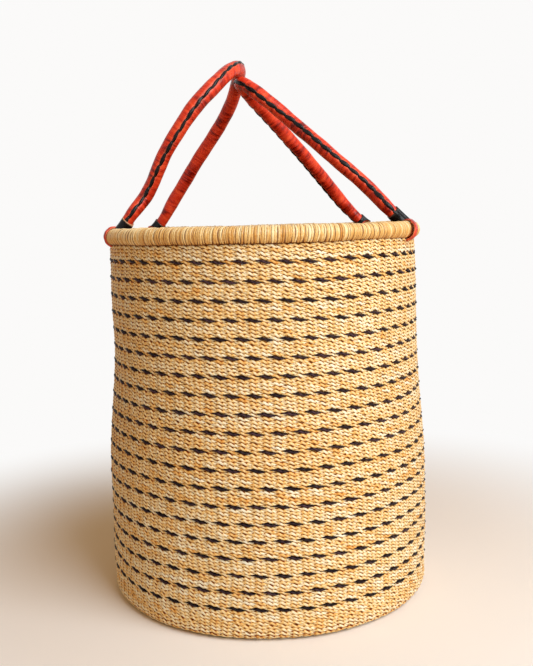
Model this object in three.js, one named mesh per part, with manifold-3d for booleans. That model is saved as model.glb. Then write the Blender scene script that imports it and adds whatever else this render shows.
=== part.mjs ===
// Bolga basket: twined grass, a bound roll for a rim, and two leather-covered loop handles.
// Millimetres, +Z up. The origin is the middle of the base, on the floor, and the front is -Y.
// An azimuth is counted from the front: positive to the right, negative to the left.
import * as THREE from 'three';
import { mergeVertices } from 'three/addons/utils/BufferGeometryUtils.js';
import Module from 'manifold-3d';

const wasm = await Module();
wasm.setup();

// Fits shared by all the pieces
const clearance = 0.3; // gap between pieces that bear on each other
const overrun = 4; // how far a cutter runs past what it cuts

// The wall and base: weft outside, stakes, weft inside
const sideCount = 32; // flat sides of every round piece
const weftThickness = 2.6; // one layer of weft, over or under the stakes
const stakeThickness = 2.4;
const stakeWidth = 3.4;
const stakeCount = 96;
const startRadius = 62; // the start of the base, where the stakes still lie as one mat
const startOverlap = 2; // how far each stake runs into that mat
const footRadius = 208; // outer face just above the floor
const bellyRadius = 208.4;
const bellyHeight = 175;
const shoulderRadius = 197.6;
const shoulderHeight = 298;
const neckRadius = 195.6; // outer face under the rim
const baseCornerSize = 12;

// The dark courses, counted from the top
const darkCourseCount = 20;
const topCourseDrop = 28.5; // from the middle of the rim down to the first dark course
const topCoursePitch = 21.3;
const pitchLossShare = 0.0038; // share of the pitch that each lower course loses
const courseHalfHeight = 2.1;
const courseDepth = 1.4; // how far the wall dips behind a dark course

// The rim: a grass core in a bound sleeve, which also takes the top of the wall
const rimHeight = 457.5; // middle of the roll
const rollRadius = 10;
const rollCoreRadius = 6.6;
const bindingSteps = 7; // flats round the sleeve's outside
const coreSteps = 6; // flats round the core

// The loop handles: a grass core, a leather cover laced along the outer side, and a collar at each foot
const coverRadius = 9.4;
const coverBoreRadius = 6.6;
const footDistance = 19; // from the middle of the roll to the handle's end
const collarLength = 15;
const collarThickness = 1.7;
const loopSpans = 18;
const coverSides = 8;
const handleCoreSides = 6;
const stitchesPerSpan = 2; // lacing stitches on each straight stretch of the cover
const stitchWidth = 4.6;
const stitchWaistWidth = 1.6;
const stitchHeight = 1.5;
const stitchWaistHeight = 0.8;

// Each loop stands on two flat sides of the rim, counted from the front, at a flat's middle or moved
// backwards by whole stakes. Its path runs from the near foot to the far foot: each point has a share of
// half the distance between the feet, one of the reach, and one of the reach for how far it bows outward
const leftLoop = {
  name: 'left',
  side: -1,
  nearFoot: { flat: 6, stakeShift: 0 },
  farFoot: { flat: 11, stakeShift: -1 },
  footBow: 0, // by which a foot's middle line passes outside the roll's middle
  apexInset: 145.5, // from the line through the feet to the apex, level
  apexRise: 208, // from the middle of the rim up to the apex
  pathShares: [[-0.86, 0.25, -0.012], [-0.92, 0.5, 0.01], [-0.86, 0.74, 0.014], [-0.56, 0.93, 0.006],
    [-0.04, 1, 0], [0.48, 0.93, 0], [0.86, 0.74, -0.004], [1, 0.5, 0.009], [1.01, 0.25, 0.008]],
};
const rightLoop = {
  name: 'right',
  side: 1,
  nearFoot: { flat: 6, stakeShift: -1 },
  farFoot: { flat: 11, stakeShift: 0 },
  footBow: 4,
  apexInset: 187,
  apexRise: 189,
  pathShares: [[-0.82, 0.245, 0.016], [-0.56, 0.49, 0.02], [-0.28, 0.73, 0.018], [-0.15, 0.93, 0.008],
    [0.03, 1, 0], [0.215, 0.93, 0.004], [0.415, 0.745, 0.014], [0.65, 0.505, 0.017], [0.92, 0.25, 0.016]],
};

// The strap that ties each foot round the rim
const strapThickness = 1.6;
const strapTopWidth = 10.5;
const strapThroughWidth = 7; // where it passes between two stakes
const strapSteps = 12;
const tabHalfWidth = 5; // the tab on top, which the leg stands on
const tabHalfThickness = 3.5;

// Sizes that follow from those above
const wallThickness = 2 * weftThickness + stakeThickness + 2 * clearance;
const rimCentreRadius = neckRadius - wallThickness / 2;
const wallTop = rimHeight - rollCoreRadius - clearance;
const stakeDepth = weftThickness + clearance; // from the outer face in to the stakes
const insideWeaveDepth = stakeDepth + stakeThickness + clearance;
const flatHalfAngle = Math.PI / sideCount;
const strapInnerRadius = (rollRadius + clearance) / Math.cos(Math.PI / strapSteps);
const strapOuterRadius = strapInnerRadius + strapThickness;
const tabCornerReach = footDistance - clearance; // the leg turns past the tab's corners
const tabReach = Math.sqrt(tabCornerReach ** 2 - tabHalfThickness ** 2);

// Finishes
const grass = new THREE.MeshStandardMaterial({ color: 0xd8ad62, roughness: 0.75, metalness: 0 });
const paleGrass = new THREE.MeshStandardMaterial({ color: 0xe3c07e, roughness: 0.7, metalness: 0 });
const dyedGrass = new THREE.MeshStandardMaterial({ color: 0x33202b, roughness: 0.7, metalness: 0 });
const redLeather = new THREE.MeshStandardMaterial({ color: 0xc22b17, roughness: 0.5, metalness: 0 });
const blackLeather = new THREE.MeshStandardMaterial({ color: 0x17161a, roughness: 0.45, metalness: 0 });

const basket = new THREE.Group();

function addPiece(name, geometry, material) {
  const mesh = new THREE.Mesh(geometry, material);
  mesh.name = name;
  basket.add(mesh);
}

// Geometry helpers

// A closed three.js geometry as a solid that can be cut and joined
function toSolid(geometry) {
  const bare = geometry.clone();
  bare.deleteAttribute('normal');
  bare.deleteAttribute('uv');
  const merged = mergeVertices(bare);
  return new wasm.Manifold(new wasm.Mesh({
    numProp: 3,
    vertProperties: new Float32Array(merged.attributes.position.array),
    triVerts: new Uint32Array(merged.index.array),
  }));
}

function toGeometry(solid) {
  const mesh = solid.getMesh();
  const geometry = new THREE.BufferGeometry();
  geometry.setAttribute('position', new THREE.BufferAttribute(mesh.vertProperties, mesh.numProp));
  geometry.setIndex(new THREE.BufferAttribute(mesh.triVerts, 1));
  return geometry;
}

// An outline of [radius, height] points turned round the upright axis
function turned(outline) {
  const points = outline.map(([radius, height]) => new THREE.Vector2(radius, height));
  const geometry = new THREE.LatheGeometry(points, sideCount);
  geometry.rotateX(Math.PI / 2);
  return geometry;
}

// A skin through rings of points: its ends are capped, or the last ring joins the first
function lofted(rings, joined = false) {
  const size = rings[0].length;
  const positions = rings.flatMap((ring) => ring.flatMap((point) => point.toArray()));
  const faces = [];
  const last = joined ? rings.length : rings.length - 1;
  for (let i = 0; i < last; i++) {
    const low = i * size;
    const high = ((i + 1) % rings.length) * size;
    for (let j = 0; j < size; j++) {
      const next = (j + 1) % size;
      faces.push(low + j, low + next, high + next, low + j, high + next, high + j);
    }
  }
  if (!joined) {
    const top = (rings.length - 1) * size;
    for (let j = 1; j < size - 1; j++) {
      faces.push(0, j + 1, j, top, top + j, top + j + 1);
    }
  }
  const geometry = new THREE.BufferGeometry();
  geometry.setAttribute('position', new THREE.Float32BufferAttribute(positions, 3));
  geometry.setIndex(faces);
  return geometry;
}

// The level direction out from the middle at an azimuth, and the one along the wall there
function outward(azimuth) {
  return new THREE.Vector3(Math.sin(azimuth), -Math.cos(azimuth), 0);
}

function alongWall(azimuth) {
  return new THREE.Vector3(Math.cos(azimuth), Math.sin(azimuth), 0);
}

const up = new THREE.Vector3(0, 0, 1);

// A flat side's distance from the axis at an azimuth, as a share of its corner radius
function flatShare(azimuth) {
  const fromCorner = THREE.MathUtils.euclideanModulo(azimuth, 2 * flatHalfAngle);
  return Math.cos(flatHalfAngle) / Math.cos(fromCorner - flatHalfAngle);
}

// The wall's shape

const wallStations = [
  [footRadius, baseCornerSize],
  [bellyRadius, bellyHeight],
  [shoulderRadius, shoulderHeight],
  [neckRadius, wallTop],
];

function outerRadiusAt(height) {
  const above = wallStations.findIndex((station) => station[1] >= height);
  const [lowRadius, lowHeight] = wallStations[Math.max(above - 1, 0)];
  const [highRadius, highHeight] = wallStations[Math.max(above, 1)];
  return THREE.MathUtils.mapLinear(height, lowHeight, highHeight, lowRadius, highRadius);
}

// The line that lies a given depth inside the outer face, from the middle of the base up to the rim
function layerLine(depth) {
  const base = [
    [0, depth],
    [footRadius - baseCornerSize, depth],
  ];
  const wall = wallStations.map(([radius, height]) => [radius - depth, height]);
  return [...base, ...wall];
}

// The dark courses' heights, from the top down
const courseHeights = [];
let nextCourseHeight = rimHeight - topCourseDrop;
for (let i = 0; i < darkCourseCount; i++) {
  courseHeights.push(nextCourseHeight);
  nextCourseHeight -= topCoursePitch * (1 - pitchLossShare * i);
}

// The outer face, which dips behind each dark course and is full between two
function grooveLine() {
  const cornerReach = baseCornerSize * Math.SQRT1_2;
  const line = [
    [0, 0],
    [footRadius - baseCornerSize, 0],
    [footRadius - baseCornerSize + cornerReach, baseCornerSize - cornerReach],
    [footRadius, baseCornerSize],
  ];
  for (let i = darkCourseCount - 1; i >= 0; i--) {
    const height = courseHeights[i];
    line.push([outerRadiusAt(height) - courseDepth, height]);
    if (i > 0) {
      const between = (height + courseHeights[i - 1]) / 2;
      line.push([outerRadiusAt(between), between]);
    }
  }
  line.push([neckRadius, wallTop]);
  return line;
}

// Places on the rim where the handles stand

// A foot stands on a flat of the rim, midway between two stakes, and is moved along it by whole stakes
function footAt(side, { flat, stakeShift }) {
  const azimuth = side * (2 * flat + 1) * flatHalfAngle;
  const radius = rimCentreRadius * Math.cos(flatHalfAngle);
  const stakePitch = radius * Math.tan((2 * Math.PI) / stakeCount);
  const centre = outward(azimuth)
    .multiplyScalar(radius)
    .addScaledVector(alongWall(azimuth), side * stakeShift * stakePitch)
    .addScaledVector(up, rimHeight);
  return { azimuth, centre };
}

function loopFeet({ side, nearFoot, farFoot }) {
  return { near: footAt(side, nearFoot), far: footAt(side, farFoot) };
}

const feet = [leftLoop, rightLoop].flatMap((loop) => Object.values(loopFeet(loop)));

// The notch in the wall's top edge that lets a strap through, between two stakes
function strapNotch({ azimuth, centre }) {
  const width = strapThroughWidth + strapThickness;
  const height = strapOuterRadius + clearance;
  const depth = wallThickness + 2 * overrun;
  const box = new THREE.BoxGeometry(width, depth, height);
  box.rotateZ(azimuth);
  box.translate(centre.x, centre.y, centre.z - height / 2);
  return toSolid(box);
}

function notched(geometry) {
  let solid = toSolid(geometry);
  for (const foot of feet) {
    solid = solid.subtract(strapNotch(foot));
  }
  return toGeometry(solid);
}

// Weave and stakes

function makeOutsideWeave() {
  const outline = [...grooveLine(), ...layerLine(weftThickness).reverse()];
  return notched(turned(outline));
}

function makeInsideWeave() {
  const outline = [...layerLine(insideWeaveDepth), ...layerLine(wallThickness).reverse()];
  return notched(turned(outline));
}

// One stake: out along the base and up the wall, flat outside and ridged inside
function makeStake(azimuth) {
  const outerLine = layerLine(stakeDepth);
  const innerLine = layerLine(stakeDepth + stakeThickness);
  const share = flatShare(azimuth);
  const rings = outerLine.map(([outerRadius, outerHeight], i) => {
    const [innerRadius, innerHeight] = innerLine[i];
    const start = startRadius - startOverlap;
    const face = outward(azimuth).multiplyScalar(Math.max(outerRadius, start) * share);
    const ridge = outward(azimuth).multiplyScalar(Math.max(innerRadius, start) * share);
    const half = alongWall(azimuth).multiplyScalar(stakeWidth / 2);
    face.addScaledVector(up, outerHeight);
    ridge.addScaledVector(up, innerHeight);
    return [face.clone().sub(half), face.clone().add(half), ridge];
  });
  return toSolid(lofted(rings));
}

function makeStakeFrame() {
  const low = stakeDepth;
  const high = stakeDepth + stakeThickness;
  let frame = toSolid(turned([[0, low], [startRadius, low], [startRadius, high], [0, high]]));
  const stakes = [];
  for (let i = 0; i < stakeCount; i++) {
    stakes.push(makeStake((2 * Math.PI * i) / stakeCount));
  }
  frame = wasm.Manifold.union([frame, ...stakes]);
  return toGeometry(frame);
}

// A dark course: a ring that fills the dip, flush with the wall
function makeDarkCourse(height) {
  const radius = outerRadiusAt(height);
  const outline = [
    [radius, height - courseHalfHeight],
    [radius, height + courseHalfHeight],
    [radius - courseDepth + clearance, height],
  ];
  return turned([...outline, outline[0]]);
}

addPiece('outside_weave', makeOutsideWeave(), grass);
addPiece('stake_frame', makeStakeFrame(), paleGrass);
addPiece('inside_weave', makeInsideWeave(), grass);
courseHeights.forEach((height, i) => {
  const number = String(i + 1).padStart(2, '0');
  addPiece(`dark_course_${number}`, makeDarkCourse(height), dyedGrass);
});

// Rim: core and bound sleeve share one slot, open downwards for the top of the wall

const slotHalfWidth = wallThickness / 2 + clearance;
const slotCoreAngle = Math.asin(slotHalfWidth / (rollCoreRadius + clearance));
const slotRollAngle = Math.asin(slotHalfWidth / rollRadius);

// Points round the roll from one edge of the slot over the top to the other
function rollArc(radius, slotAngle, steps) {
  const points = [];
  for (let i = 0; i <= steps; i++) {
    const angle = THREE.MathUtils.mapLinear(i, 0, steps, slotAngle, 2 * Math.PI - slotAngle) - Math.PI / 2;
    points.push([rimCentreRadius + radius * Math.cos(angle), rimHeight + radius * Math.sin(angle)]);
  }
  return points;
}

function makeRimCore() {
  const outline = rollArc(rollCoreRadius, slotCoreAngle, coreSteps);
  return turned([...outline, outline[0]]);
}

function makeRimBinding() {
  const halfStep = (Math.PI - slotCoreAngle) / coreSteps;
  const boreRadius = rollCoreRadius + clearance / Math.cos(halfStep);
  const outside = rollArc(rollRadius, slotRollAngle, bindingSteps);
  const bore = rollArc(boreRadius, slotCoreAngle, coreSteps).reverse();
  return turned([...outside, ...bore, outside[0]]);
}

addPiece('rim_core', makeRimCore(), paleGrass);
addPiece('rim_binding', makeRimBinding(), grass);

// Handles

// A loop's own axes: from foot to foot, along its reach, and square to its plane
function loopFrame(loop) {
  const { side, apexInset, apexRise } = loop;
  const feetHere = loopFeet(loop);
  const near = feetHere.near.centre;
  const far = feetHere.far.centre;
  const middle = near.clone().add(far).multiplyScalar(1 / 2);
  const across = far.clone().sub(near).normalize();
  const inward = up.clone().cross(across).multiplyScalar(side);
  const reach = Math.hypot(apexInset, apexRise);
  const rise = inward.multiplyScalar(apexInset / reach).addScaledVector(up, apexRise / reach);
  const plane = across.clone().cross(rise);
  const halfSpan = near.distanceTo(far) / 2;
  return { middle, across, rise, plane, reach, halfSpan };
}

// The stations along a loop, from the near foot to the far one: a place and its two cross directions
function loopStations(loop) {
  const { middle, across, rise, plane, reach, halfSpan } = loopFrame(loop);
  const outside = plane.clone().multiplyScalar(loop.side);
  const place = (sideways, away, bow) => middle.clone()
    .addScaledVector(across, sideways)
    .addScaledVector(rise, away)
    .addScaledVector(outside, bow);
  const bowed = loop.pathShares.map(([sidewaysShare, awayShare, bowShare]) => (
    place(sidewaysShare * halfSpan, awayShare * reach, bowShare * reach)
  ));
  const footPlace = (sign, away) => place(sign * halfSpan, away, loop.footBow);
  const collarTop = footDistance + collarLength;
  const curve = new THREE.CatmullRomCurve3([footPlace(-1, collarTop), ...bowed, footPlace(1, collarTop)]);
  const places = [
    footPlace(-1, footDistance),
    ...curve.getSpacedPoints(loopSpans),
    footPlace(1, footDistance),
  ];
  return places.map((centre, i) => {
    const before = places[i - 1] ?? centre.clone().sub(rise);
    const after = places[i + 1] ?? centre.clone().sub(rise);
    const along = i === 0 ? rise.clone() : after.clone().sub(before).normalize();
    if (i === places.length - 1) {
      along.copy(rise).negate();
    }
    const outer = plane.clone().cross(along).normalize();
    const level = along.clone().cross(outer);
    return { centre, outer, level, along };
  });
}

// A many-sided ring round a station, with a flat towards the loop's outer side
function ringAt({ centre, outer, level }, radius, sides) {
  const ring = [];
  for (let i = 0; i < sides; i++) {
    const angle = ((2 * i + 1) * Math.PI) / sides;
    ring.push(centre.clone()
      .addScaledVector(outer, radius * Math.cos(angle))
      .addScaledVector(level, radius * Math.sin(angle)));
  }
  return ring;
}

// The same stations, run on at both ends so that a cutter goes right through
function runOn(stations) {
  const first = stations[0];
  const last = stations[stations.length - 1];
  return [
    { ...first, centre: first.centre.clone().addScaledVector(first.along, -overrun) },
    ...stations,
    { ...last, centre: last.centre.clone().addScaledVector(last.along, overrun) },
  ];
}

function rod(stations, radius, sides) {
  return toSolid(lofted(stations.map((station) => ringAt(station, radius, sides))));
}

function makeCover(stations) {
  const bore = rod(runOn(stations), coverBoreRadius, handleCoreSides);
  return toGeometry(rod(stations, coverRadius, coverSides).subtract(bore));
}

function makeHandleCore(stations) {
  const radius = coverBoreRadius - clearance / Math.cos(Math.PI / handleCoreSides);
  return toGeometry(rod(stations, radius, handleCoreSides));
}

function makeCollar(stations) {
  const boreRadius = coverRadius + clearance / Math.cos(Math.PI / coverSides);
  const bore = rod(runOn(stations), boreRadius, coverSides);
  return toGeometry(rod(stations, boreRadius + collarThickness, coverSides).subtract(bore));
}

// A place between two stations, so that what lies on the cover follows its flats
function between(stations, position) {
  const low = Math.min(Math.floor(position), stations.length - 2);
  const share = position - low;
  const mix = (key) => stations[low][key].clone().lerp(stations[low + 1][key], share);
  return { centre: mix('centre'), outer: mix('outer').normalize(), level: mix('level').normalize() };
}

// The lacing: one thong along the loop's outer side, wide in each stitch and narrow between two
function makeLacing(stations) {
  const leg = stations.slice(1, -1);
  const stitchCount = stitchesPerSpan * loopSpans;
  const lift = coverRadius * Math.cos(Math.PI / coverSides) + clearance;
  const endGapShare = clearance / leg[0].centre.distanceTo(leg[1].centre);
  const rings = [];
  for (let i = 0; i <= 2 * stitchCount; i++) {
    const position = (i * loopSpans) / (2 * stitchCount);
    const kept = THREE.MathUtils.clamp(position, endGapShare, loopSpans - endGapShare);
    const { centre, outer, level } = between(leg, kept);
    const wide = i % 2 === 1;
    const halfWidth = (wide ? stitchWidth : stitchWaistWidth) / 2;
    const height = wide ? stitchHeight : stitchWaistHeight;
    const foot = centre.clone().addScaledVector(outer, lift);
    rings.push([
      foot.clone().addScaledVector(level, -halfWidth),
      foot.clone().addScaledVector(outer, height),
      foot.clone().addScaledVector(level, halfWidth),
    ]);
  }
  return lofted(rings);
}

// The strap round the rim: widest on top, narrow where it passes through the wall, with a tab to the leg
function makeRimStrap({ azimuth, centre }, { across, rise }) {
  const out = outward(azimuth);
  const sideways = alongWall(azimuth);
  const rayAt = (angle) => out.clone()
    .multiplyScalar(Math.cos(angle))
    .addScaledVector(up, Math.sin(angle));
  const pointAt = (angle, radius, offset) => centre.clone()
    .addScaledVector(rayAt(angle), radius)
    .addScaledVector(sideways, offset);
  const angles = Array.from({ length: strapSteps }, (_, i) => (2 * Math.PI * i) / strapSteps);
  const rings = angles.map((angle) => {
    const spread = (1 + Math.sin(angle)) / 2;
    const half = THREE.MathUtils.lerp(strapThroughWidth, strapTopWidth, spread) / 2;
    return [
      pointAt(angle, strapInnerRadius, half),
      pointAt(angle, strapInnerRadius, -half),
      pointAt(angle, strapOuterRadius, -half),
      pointAt(angle, strapOuterRadius, half),
    ];
  });
  const band = toSolid(lofted(rings, true));

  const tabOut = rise.clone().cross(across);
  const tabRings = [0, tabReach].map((distance) => {
    const middle = centre.clone().addScaledVector(rise, distance);
    return [[-1, -1], [1, -1], [1, 1], [-1, 1]].map(([acrossSign, outSign]) => middle.clone()
      .addScaledVector(across, acrossSign * tabHalfWidth)
      .addScaledVector(tabOut, outSign * tabHalfThickness));
  });
  const tab = toSolid(lofted(tabRings));
  const rollSpace = toSolid(lofted([-overrun - strapTopWidth, overrun + strapTopWidth].map((offset) => (
    angles.map((angle) => pointAt(angle, strapInnerRadius, offset)).reverse()
  ))));
  return toGeometry(band.add(tab.subtract(rollSpace)));
}

function addHandle(loop) {
  const stations = loopStations(loop);
  const frame = loopFrame(loop);
  addPiece(`${loop.name}_handle_core`, makeHandleCore(stations), paleGrass);
  addPiece(`${loop.name}_handle_cover`, makeCover(stations), redLeather);
  addPiece(`${loop.name}_handle_lacing`, makeLacing(stations), blackLeather);
  addPiece(`${loop.name}_near_collar`, makeCollar(stations.slice(0, 2)), blackLeather);
  addPiece(`${loop.name}_far_collar`, makeCollar(stations.slice(-2)), blackLeather);
  const { near, far } = loopFeet(loop);
  addPiece(`${loop.name}_near_rim_strap`, makeRimStrap(near, frame), redLeather);
  addPiece(`${loop.name}_far_rim_strap`, makeRimStrap(far, frame), redLeather);
}

addHandle(leftLoop);
addHandle(rightLoop);

export default basket;
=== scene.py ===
# Bolga basket, dressed for the render: twined grass, a wound rim and two laced leather handles.
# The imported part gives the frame, in metres, with +Z up and the front towards -Y.
import math

import bpy
import numpy as np
from mathutils import Matrix


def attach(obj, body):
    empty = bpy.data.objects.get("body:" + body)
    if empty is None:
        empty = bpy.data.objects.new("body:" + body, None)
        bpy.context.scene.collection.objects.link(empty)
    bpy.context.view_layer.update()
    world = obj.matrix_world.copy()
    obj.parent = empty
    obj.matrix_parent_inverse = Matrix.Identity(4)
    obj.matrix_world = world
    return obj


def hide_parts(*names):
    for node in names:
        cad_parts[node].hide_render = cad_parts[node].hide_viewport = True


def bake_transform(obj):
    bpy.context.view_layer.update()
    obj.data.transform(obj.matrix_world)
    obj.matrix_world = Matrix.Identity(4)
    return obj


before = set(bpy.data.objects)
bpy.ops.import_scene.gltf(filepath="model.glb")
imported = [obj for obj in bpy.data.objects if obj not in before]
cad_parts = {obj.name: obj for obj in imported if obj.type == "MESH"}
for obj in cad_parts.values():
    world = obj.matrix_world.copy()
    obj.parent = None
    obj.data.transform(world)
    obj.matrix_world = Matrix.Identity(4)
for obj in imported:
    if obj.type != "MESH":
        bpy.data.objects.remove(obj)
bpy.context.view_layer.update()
scene = bpy.context.scene

# Camera: it stands a little above the rim and looks slightly down, tipped by a degree and
# a half. Its focal length is in pixels of a picture 666 pixels high, the longer side.
FOCAL_PIXELS = 850
PICTURE_PIXELS_HIGH = 666
FILM_MM = 36
CAMERA_PLACE = (0.0021, -1.113, 0.4705)
CAMERA_DOWN_DEGREES = 7.4
CAMERA_TIP_DEGREES = -1.5

camera_data = bpy.data.cameras.new("camera")
camera_data.sensor_width = FILM_MM
camera_data.lens = FILM_MM * FOCAL_PIXELS / PICTURE_PIXELS_HIGH
camera = bpy.data.objects.new("camera", camera_data)
camera.matrix_world = (
    Matrix.Translation(CAMERA_PLACE)
    @ Matrix.Rotation(math.radians(90 - CAMERA_DOWN_DEGREES), 4, "X")
    @ Matrix.Rotation(math.radians(CAMERA_TIP_DEGREES), 4, "Z")
)
scene.collection.objects.link(camera)
scene.camera = camera
scene.view_settings.view_transform = "Standard"


# Studio: a pale matte floor that keeps the shadow, under a white sky. One large soft lamp
# stands to the front right, as by a window, and a warm light from the sky fills the shade.
def paint(hex_colour):
    """An sRGB hex colour as linear red, green, blue and alpha."""
    channels = np.array([int(hex_colour[i:i + 2], 16) for i in (1, 3, 5)]) / 255
    linear = np.where(channels <= 0.04045, channels / 12.92, ((channels + 0.055) / 1.055) ** 2.4)
    return (*linear.tolist(), 1.0)


def add_node(tree, kind, inputs=None, **settings):
    """Adds a node: settings are its properties, inputs the values or links of its sockets."""
    node = tree.nodes.new("ShaderNode" + kind)
    for name, value in settings.items():
        setattr(node, name, value)
    for name, value in (inputs or {}).items():
        if isinstance(value, bpy.types.NodeSocket):
            tree.links.new(value, node.inputs[name])
        else:
            node.inputs[name].default_value = value
    return node


def new_material(name):
    """A bare material: its node tree and its shader, which is already joined to the output."""
    material = bpy.data.materials.new(name)
    material.use_nodes = True
    tree = material.node_tree
    return material, tree, tree.nodes["Principled BSDF"]


BACKGROUND_WHITE = "#FBFAF9"
WHITE_FROM = 0.3  # distances over which the floor runs into that white
WHITE_TO = 0.85

floor_paint, tree, shader = new_material("matte_studio_floor")
shader.inputs["Base Color"].default_value = paint("#FAF7F3")
shader.inputs["Roughness"].default_value = 0.9
shader.inputs["Specular IOR Level"].default_value = 0.1
floor_place = add_node(tree, "TexCoord")
reach = add_node(tree, "VectorMath", {0: floor_place.outputs["Object"]}, operation="LENGTH")
faded = add_node(tree, "MapRange", {"Value": reach.outputs["Value"], "From Min": WHITE_FROM,
                                    "From Max": WHITE_TO}, interpolation_type="SMOOTHSTEP")
floor_rays = add_node(tree, "LightPath")
glow = add_node(tree, "Math", {0: faded.outputs[0], 1: floor_rays.outputs["Is Camera Ray"]},
                operation="MULTIPLY")
white_floor = add_node(tree, "Emission", {"Color": paint(BACKGROUND_WHITE)})
blend = add_node(tree, "MixShader", {0: glow.outputs[0], 1: shader.outputs[0],
                                     2: white_floor.outputs[0]})
tree.links.new(blend.outputs[0], tree.nodes["Material Output"].inputs["Surface"])

FLOOR_HALF = 6.0
FLOOR_DROP = 0.0004  # under the base, so that the two don't touch

floor_mesh = bpy.data.meshes.new("floor")
floor_corners = [(x * FLOOR_HALF, y * FLOOR_HALF, -FLOOR_DROP)
                 for x, y in ((-1, -1), (1, -1), (1, 1), (-1, 1))]
floor_mesh.from_pydata(floor_corners, [], [(0, 1, 2, 3)])
floor_mesh.materials.append(floor_paint)
floor = bpy.data.objects.new("floor", floor_mesh)
scene.collection.objects.link(floor)

SKY_FILL = 0.36  # strength of the light that falls from the sky

world = bpy.data.worlds.new("white_sky")
world.use_nodes = True
scene.world = world
tree = world.node_tree
tree.nodes.clear()
rays = add_node(tree, "LightPath")
seen = add_node(tree, "Math", {0: rays.outputs["Is Camera Ray"], 1: rays.outputs["Is Glossy Ray"]},
                operation="MAXIMUM")
clear = add_node(tree, "Math", {0: seen.outputs[0], 1: rays.outputs["Is Transmission Ray"]},
                 operation="MAXIMUM")
fill = add_node(tree, "Background", {"Color": paint("#FFD29C"), "Strength": SKY_FILL})
backdrop = add_node(tree, "Background", {"Color": paint(BACKGROUND_WHITE)})
sky = add_node(tree, "MixShader", {0: clear.outputs[0], 1: fill.outputs[0], 2: backdrop.outputs[0]})
add_node(tree, "OutputWorld", {"Surface": sky.outputs[0]})

LAMP_SIDE = 1.7
LAMP_WATTS = 51
LAMP_COLOUR = (0.95, 0.99, 1.04)
LAMP_TARGET = (0, 0, 0.3)
LAMP_AZIMUTH = math.radians(42.5)
LAMP_ELEVATION = math.radians(35)
LAMP_DISTANCE = 2.2

lamp_data = bpy.data.lights.new("window_lamp", "AREA")
lamp_data.shape = "RECTANGLE"
lamp_data.size = LAMP_SIDE
lamp_data.size_y = LAMP_SIDE
lamp_data.energy = LAMP_WATTS
lamp_data.color = LAMP_COLOUR
lamp = bpy.data.objects.new("window_lamp", lamp_data)
lamp.matrix_world = (
    Matrix.Translation(LAMP_TARGET)
    @ Matrix.Rotation(LAMP_AZIMUTH, 4, "Z")
    @ Matrix.Rotation(math.radians(90) - LAMP_ELEVATION, 4, "X")
    @ Matrix.Translation((0, 0, LAMP_DISTANCE))
)
scene.collection.objects.link(lamp)


# Wall and base: elephant grass, split and twisted in two plies, twined in pairs past 96 stakes.
# At each stake one strand passes outside and the other inside, and they cross before the next,
# so a stitch leans down to the right. Each fifth course has one dyed strand: a row of dashes.
MM = 0.001
STAKES = 96
WALL_DEPTH = 8.2  # over both strands and the stake
MID_DEPTH = WALL_DEPTH / 2
CORNER_RADIUS = 12.0  # outside, where the wall meets the base
FOOT_RADIUS = 208.0
PROFILE_HEIGHTS = [CORNER_RADIUS, 175, 298, 451]
PROFILE_RADII = [FOOT_RADIUS, 208.4, 197.6, 195.6]
SMOOTHING = 30.0  # the profile is averaged over this height either way
SMOOTHING_STEPS = 9
STRAND_REACH = 1.1  # how far a strand's middle stands in or out at a stake
STRAND_DROP = 1.2  # how far it rises and falls where two strands cross
STRAND_HALF_THICK = 2.6  # over a stake
STRAND_THICKENING = 0.3  # what it gains between two
STRAND_HALF_HIGH = 2.4  # where it lies flat over a stake
STRAND_TAPER = 0.38  # share of that height that it loses by the time it crosses the other
STRAND_FLATNESS = 0.6  # under one, its front and back are flattened
STEPS_PER_STAKE = 5
SECTION_POINTS = 6
FLOOR_GAP = 0.1  # which the base's strands keep from the floor

# How uneven the hand's work is: mm, shares of a size, or shares of the way between two stakes
STITCH_SLIP = 0.05
COURSE_SLIP = 0.05
STITCH_LIFT = 0.1
STITCH_BULGE = 0.12
HIGH_SPREAD = 0.07
THICK_SPREAD = 0.05
STITCH_TONE = 0.1
COURSE_TONE = 0.07
MIDDLE_TONE = 0.5  # from 0, the deepest colour, to 1, the palest
HAND_WAVES = (  # waves round the basket, radians per mm up the wall, size in mm, and start
    (3, 0.011, 0.5, 0.4), (5, 0.019, 0.35, 2.1), (8, 0.026, 0.3, 4.4),
    (13, 0.045, 0.22, 1.3), (2, 0.031, 0.3, 5.2),
)
DRIFT_UP = 0.8  # share of those waves that lifts a course
DRIFT_OUT = 0.9  # share that pushes it out, read off another stretch of the same waves
OUT_TURN = 1.7
OUT_STRETCH = 1.3

chance = np.random.default_rng(41)


def mid_line(distance):
    """Middle of the wall at a distance above the corner, negative round it and along the base.

    Returns the radius and height, and the slope angle: 0 on the upright wall, where the
    outward direction is level, and a quarter turn on the base, where it points down. The
    corner is a quarter circle, and the wall a line through four points, averaged over a
    short height so that it has no kinks.
    """
    bend = CORNER_RADIUS - MID_DEPTH
    arc = bend * np.pi / 2
    angle = np.clip(-distance / bend, 0, np.pi / 2)
    height = CORNER_RADIUS + np.maximum(distance, 0) - bend * np.sin(angle)
    shifts = np.linspace(-SMOOTHING, SMOOTHING, SMOOTHING_STEPS)
    spread = np.interp(height[..., None] + shifts, PROFILE_HEIGHTS, PROFILE_RADII).mean(-1)
    upright = spread - MID_DEPTH
    turned = FOOT_RADIUS - CORNER_RADIUS + bend * np.cos(angle)
    along_base = np.maximum(-distance - arc, 0)
    radius = np.where(distance > 0, upright, turned - along_base)
    return radius, height, angle


def hand_drift(azimuth, distance):
    """Slow unevenness of hand work: a few waves of 8 to 35 cm round and up the wall, in mm."""
    waves = np.zeros(np.broadcast(azimuth, distance).shape)
    for turns, rise, size, start in HAND_WAVES:
        waves += size * np.sin(turns * azimuth + rise * distance + start)
    return waves


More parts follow.
